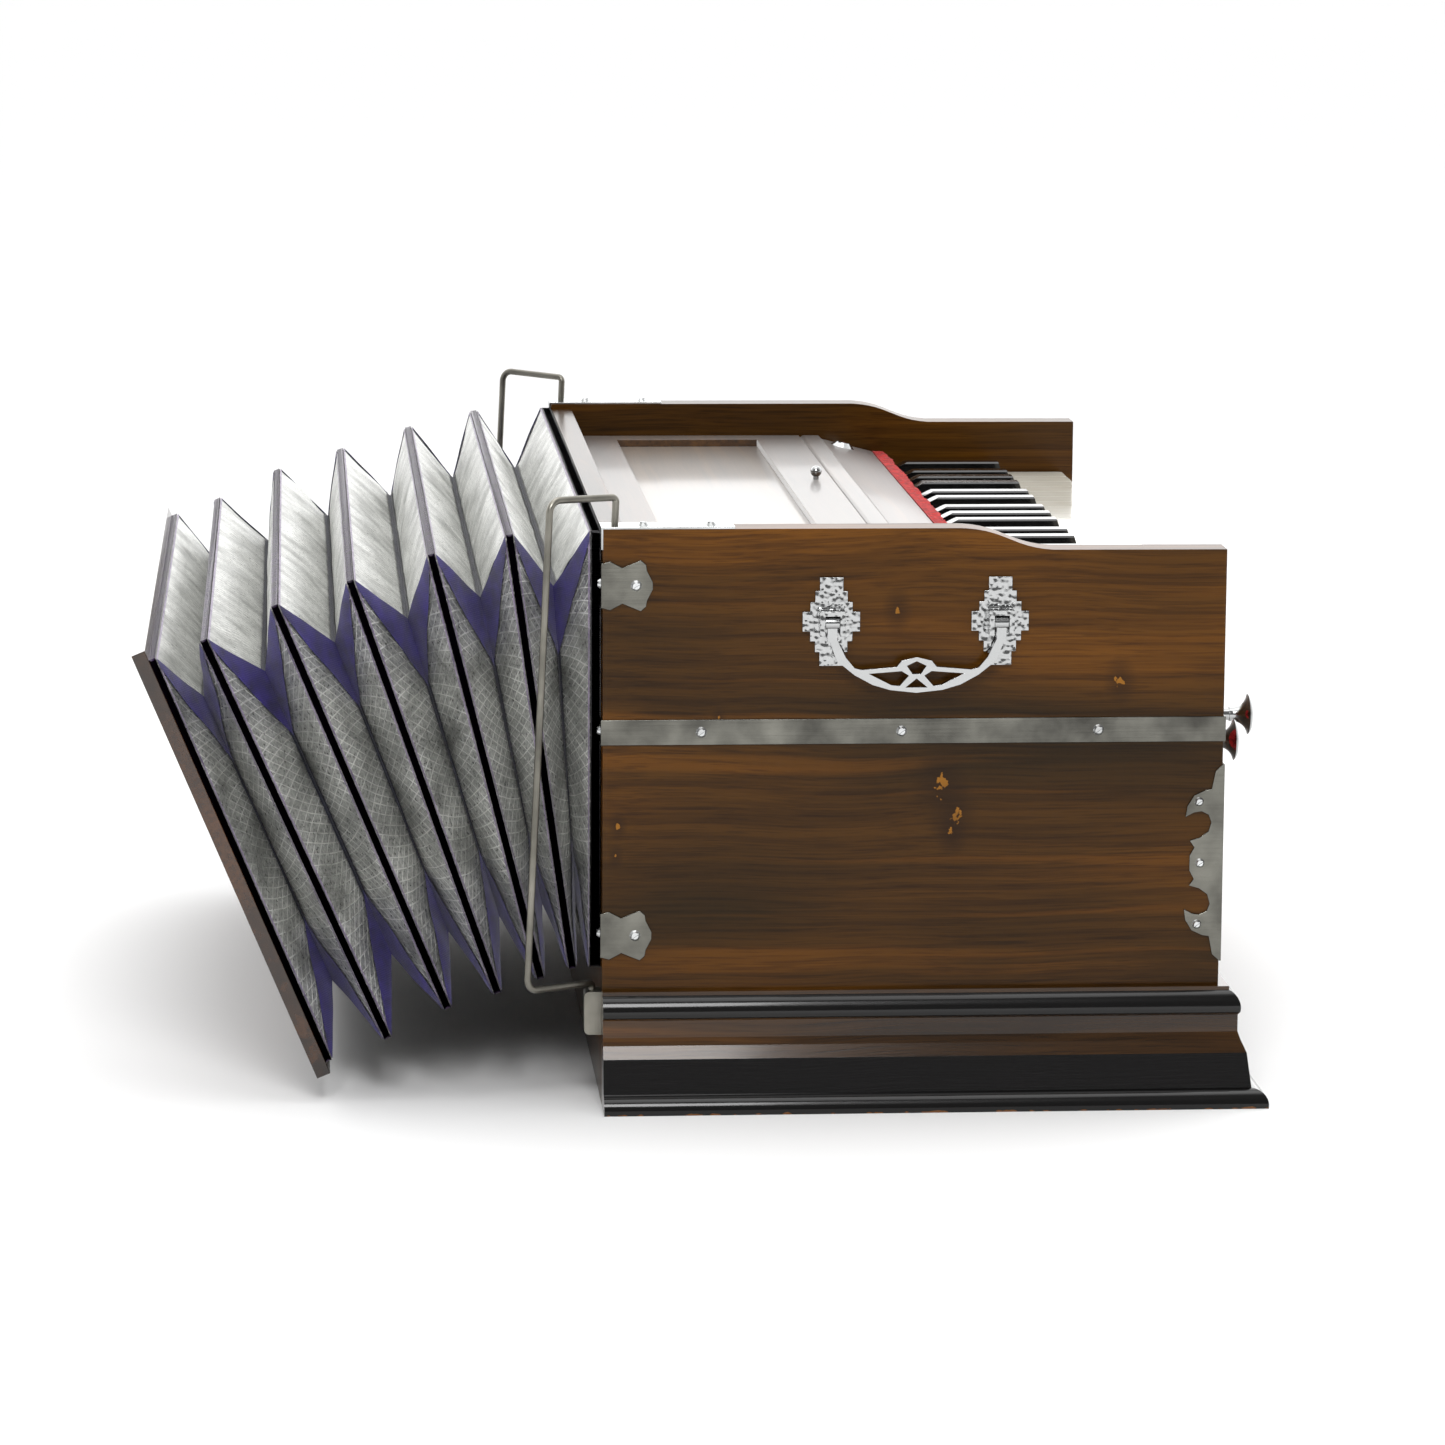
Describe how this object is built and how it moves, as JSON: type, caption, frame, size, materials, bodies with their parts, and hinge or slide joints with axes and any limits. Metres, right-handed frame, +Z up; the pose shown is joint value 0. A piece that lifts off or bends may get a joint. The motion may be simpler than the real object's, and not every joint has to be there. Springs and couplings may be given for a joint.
{
  "type": "hand-pumped harmonium",
  "caption": "Portable hand-pumped reed organ: varnished box case with keyboard, stop knobs, side handles and a pleated bellows hanging open at the back.",
  "frame": {"origin": "centre of the case footprint on the floor, under the plinth", "axes": "+X along the keyboard from bass to treble, -Y towards the player, +Y towards the bellows, +Z up"},
  "size_m": [0.6046, 0.5671, 0.3035],
  "materials": {
    "varnished_wood": "gloss varnish",
    "lid_wood": "gloss varnish",
    "ebonised_wood": "gloss",
    "bare_wood": "planed",
    "red_felt": "felt",
    "stainless_steel": "brushed",
    "chrome": "polished",
    "steel_wire": "drawn",
    "brass": "rolled",
    "white_key": "polished",
    "black_key": "polished",
    "bellows_card": "foil faced",
    "bellows_cloth": "woven tape",
    "leather": "suede"
  },
  "bodies": {
    "root": {"left_cheek": "varnished_wood", "right_cheek": "varnished_wood", "front_board": "varnished_wood", "back_board": "varnished_wood", "base_board": "bare_wood", "plinth_moulding": "varnished_wood", "key_cover": "varnished_wood", "red_felts": "red_felt", "side_straps": "stainless_steel", "rear_corner_brackets": "stainless_steel", "front_corner_brackets": "stainless_steel", "cap_plates": "stainless_steel", "wire_brackets": "steel_wire", "trim_screws": "stainless_steel", "handle_plates": "chrome", "key_frame": "bare_wood", "key_rod": "steel_wire", "key_springs": "brass", "reed_board": "bare_wood", "reeds": "brass", "bellows_frame": "bellows_cloth"},
    "lid": {"lid_frame": "lid_wood", "lid_panel": "lid_wood", "lid_fittings": "chrome"},
    "left_handle": {"left_handle": "chrome"},
    "right_handle": {"right_handle": "chrome"},
    "key_c": {"key_c": "white_key"},
    "key_c_sharp": {"key_c_sharp": "black_key"},
    "key_d": {"key_d": "white_key"},
    "key_d_sharp": {"key_d_sharp": "black_key"},
    "key_e": {"key_e": "white_key"},
    "key_f": {"key_f": "white_key"},
    "key_f_sharp": {"key_f_sharp": "black_key"},
    "key_g": {"key_g": "white_key"},
    "key_g_sharp": {"key_g_sharp": "black_key"},
    "key_a": {"key_a": "white_key"},
    "key_a_sharp": {"key_a_sharp": "black_key"},
    "key_b": {"key_b": "white_key"},
    "reservoir": {"reservoir_board": "bare_wood"},
    "stop_knob_1": {"stop_knob_1": "chrome"},
    "stop_knob_2": {"stop_knob_2": "chrome"},
    "stop_knob_3": {"stop_knob_3": "chrome"},
    "stop_knob_4": {"stop_knob_4": "chrome"},
    "stop_knob_5": {"stop_knob_5": "chrome"},
    "stop_knob_6": {"stop_knob_6": "chrome"},
    "bellows_rib_1": {"bellows_rib_1": "bellows_cloth", "bellows_fold_1": "bellows_card"},
    "bellows_rib_2": {"bellows_rib_2": "bellows_cloth", "bellows_fold_2": "bellows_card"},
    "bellows_rib_3": {"bellows_rib_3": "bellows_cloth", "bellows_fold_3": "bellows_card"},
    "bellows_rib_4": {"bellows_rib_4": "bellows_cloth", "bellows_fold_4": "bellows_card"},
    "bellows_rib_5": {"bellows_rib_5": "bellows_cloth", "bellows_fold_5": "bellows_card"},
    "bellows_board": {"bellows_board": "varnished_wood", "intake_flaps": "leather", "bellows_fold_6": "bellows_card"},
    "left_wire_bail": {"left_wire_bail": "steel_wire"},
    "right_wire_bail": {"right_wire_bail": "steel_wire"}
  },
  "joints": [
    {"name": "bellows_fold_1_swing", "type": "hinge", "parent": "root", "child": "bellows_rib_1", "pos_m": [0, 0.1628, 0.01817], "axis": [1, 0, 0], "range_deg": [0, 8.2], "deforming": ["bellows_fold_1"]},
    {"name": "bellows_fold_2_swing", "type": "hinge", "parent": "bellows_rib_1", "child": "bellows_rib_2", "pos_m": [0, 0.13313, -0.05155], "axis": [1, 0, 0], "range_deg": [0, 6], "deforming": ["bellows_fold_2"]},
    {"name": "bellows_fold_3_swing", "type": "hinge", "parent": "bellows_rib_2", "child": "bellows_rib_3", "pos_m": [0, 0.12201, -0.14485], "axis": [1, 0, 0], "range_deg": [0, 5], "deforming": ["bellows_fold_3"]},
    {"name": "bellows_fold_4_swing", "type": "hinge", "parent": "bellows_rib_3", "child": "bellows_rib_4", "pos_m": [0, 0.11248, -0.30665], "axis": [1, 0, 0], "range_deg": [0, 3.4], "deforming": ["bellows_fold_4"]},
    {"name": "bellows_fold_5_swing", "type": "hinge", "parent": "bellows_rib_4", "child": "bellows_rib_5", "pos_m": [0, -0.30075, -1.03187], "axis": [1, 0, 0], "range_deg": [0, 1.4], "deforming": ["bellows_fold_5"]},
    {"name": "bellows_fold_6_swing", "type": "hinge", "parent": "bellows_rib_5", "child": "bellows_board", "pos_m": [0, 0.7336, 1.26354], "axis": [1, 0, 0], "range_deg": [-1.2, 0], "deforming": ["bellows_fold_6"]},
    {"name": "lid_swing", "type": "hinge", "parent": "root", "child": "lid", "pos_m": [0, 0.1323, 0.2625], "axis": [-1, 0, 0], "range_deg": [0, 98]},
    {"name": "key_c_press", "type": "hinge", "parent": "root", "child": "key_c", "pos_m": [0, -0.0125, 0.231], "axis": [1, 0, 0], "range_deg": [0, 3], "stiffness_Nm_per_rad": 2, "springref_deg": -14.32},
    {"name": "key_c_sharp_press", "type": "hinge", "parent": "root", "child": "key_c_sharp", "pos_m": [0, -0.0125, 0.231], "axis": [1, 0, 0], "range_deg": [0, 3], "stiffness_Nm_per_rad": 2, "springref_deg": -14.32},
    {"name": "key_d_press", "type": "hinge", "parent": "root", "child": "key_d", "pos_m": [0, -0.0125, 0.231], "axis": [1, 0, 0], "range_deg": [0, 3], "stiffness_Nm_per_rad": 2, "springref_deg": -14.32},
    {"name": "key_d_sharp_press", "type": "hinge", "parent": "root", "child": "key_d_sharp", "pos_m": [0, -0.0125, 0.231], "axis": [1, 0, 0], "range_deg": [0, 3], "stiffness_Nm_per_rad": 1.5, "springref_deg": -14.32},
    {"name": "key_e_press", "type": "hinge", "parent": "root", "child": "key_e", "pos_m": [0, -0.0125, 0.231], "axis": [1, 0, 0], "range_deg": [0, 3], "stiffness_Nm_per_rad": 1.5, "springref_deg": -14.32},
    {"name": "key_f_press", "type": "hinge", "parent": "root", "child": "key_f", "pos_m": [0, -0.0125, 0.231], "axis": [1, 0, 0], "range_deg": [0, 3], "stiffness_Nm_per_rad": 1.5, "springref_deg": -14.32},
    {"name": "key_f_sharp_press", "type": "hinge", "parent": "root", "child": "key_f_sharp", "pos_m": [0, -0.0125, 0.231], "axis": [1, 0, 0], "range_deg": [0, 3], "stiffness_Nm_per_rad": 1.5, "springref_deg": -14.32},
    {"name": "key_g_press", "type": "hinge", "parent": "root", "child": "key_g", "pos_m": [0, -0.0125, 0.231], "axis": [1, 0, 0], "range_deg": [0, 3], "stiffness_Nm_per_rad": 1.5, "springref_deg": -14.32},
    {"name": "key_g_sharp_press", "type": "hinge", "parent": "root", "child": "key_g_sharp", "pos_m": [0, -0.0125, 0.231], "axis": [1, 0, 0], "range_deg": [0, 3], "stiffness_Nm_per_rad": 1.5, "springref_deg": -14.32},
    {"name": "key_a_press", "type": "hinge", "parent": "root", "child": "key_a", "pos_m": [0, -0.0125, 0.231], "axis": [1, 0, 0], "range_deg": [0, 3], "stiffness_Nm_per_rad": 1.5, "springref_deg": -14.32},
    {"name": "key_a_sharp_press", "type": "hinge", "parent": "root", "child": "key_a_sharp", "pos_m": [0, -0.0125, 0.231], "axis": [1, 0, 0], "range_deg": [0, 3], "stiffness_Nm_per_rad": 1.5, "springref_deg": -14.32},
    {"name": "key_b_press", "type": "hinge", "parent": "root", "child": "key_b", "pos_m": [0, -0.0125, 0.231], "axis": [1, 0, 0], "range_deg": [0, 3], "stiffness_Nm_per_rad": 1.5, "springref_deg": -14.32},
    {"name": "stop_1_slide", "type": "slide", "parent": "root", "child": "stop_knob_1", "axis": [0, 1, 0], "range_m": [-0.02, 0]},
    {"name": "stop_2_slide", "type": "slide", "parent": "root", "child": "stop_knob_2", "axis": [0, 1, 0], "range_m": [0, 0.02]},
    {"name": "stop_3_slide", "type": "slide", "parent": "root", "child": "stop_knob_3", "axis": [0, 1, 0], "range_m": [-0.02, 0]},
    {"name": "stop_4_slide", "type": "slide", "parent": "root", "child": "stop_knob_4", "axis": [0, 1, 0], "range_m": [-0.02, 0]},
    {"name": "stop_5_slide", "type": "slide", "parent": "root", "child": "stop_knob_5", "axis": [0, 1, 0], "range_m": [-0.02, 0]},
    {"name": "stop_6_slide", "type": "slide", "parent": "root", "child": "stop_knob_6", "axis": [0, 1, 0], "range_m": [-0.02, 0]},
    {"name": "left_handle_swing", "type": "hinge", "parent": "root", "child": "left_handle", "pos_m": [-0.2858, 0, 0.2406], "axis": [0, 1, 0], "range_deg": [0, 100]},
    {"name": "right_handle_swing", "type": "hinge", "parent": "root", "child": "right_handle", "pos_m": [0.2858, 0, 0.2406], "axis": [0, -1, 0], "range_deg": [0, 100]},
    {"name": "left_wire_swing", "type": "hinge", "parent": "root", "child": "left_wire_bail", "pos_m": [-0.2705, 0.1568, 0.06], "axis": [0, -0.0455, 0.999], "range_deg": [-24, 50]},
    {"name": "right_wire_swing", "type": "hinge", "parent": "root", "child": "right_wire_bail", "pos_m": [0.2705, 0.1568, 0.06], "axis": [0, -0.0455, 0.999], "range_deg": [-50, 24]},
    {"name": "reservoir_swing", "type": "hinge", "parent": "root", "child": "reservoir", "pos_m": [0, 0.1225, 0.154], "axis": [1, 0, 0], "range_deg": [0, 10], "stiffness_Nm_per_rad": 8, "springref_deg": -14.32}
  ],
  "couplings": [
    {"joint": "bellows_fold_2_swing", "follows": "bellows_fold_1_swing", "ratio": 0.73171},
    {"joint": "bellows_fold_3_swing", "follows": "bellows_fold_1_swing", "ratio": 0.60976},
    {"joint": "bellows_fold_4_swing", "follows": "bellows_fold_1_swing", "ratio": 0.41463},
    {"joint": "bellows_fold_5_swing", "follows": "bellows_fold_1_swing", "ratio": 0.17073},
    {"joint": "bellows_fold_6_swing", "follows": "bellows_fold_1_swing", "ratio": -0.14634}
  ]
}
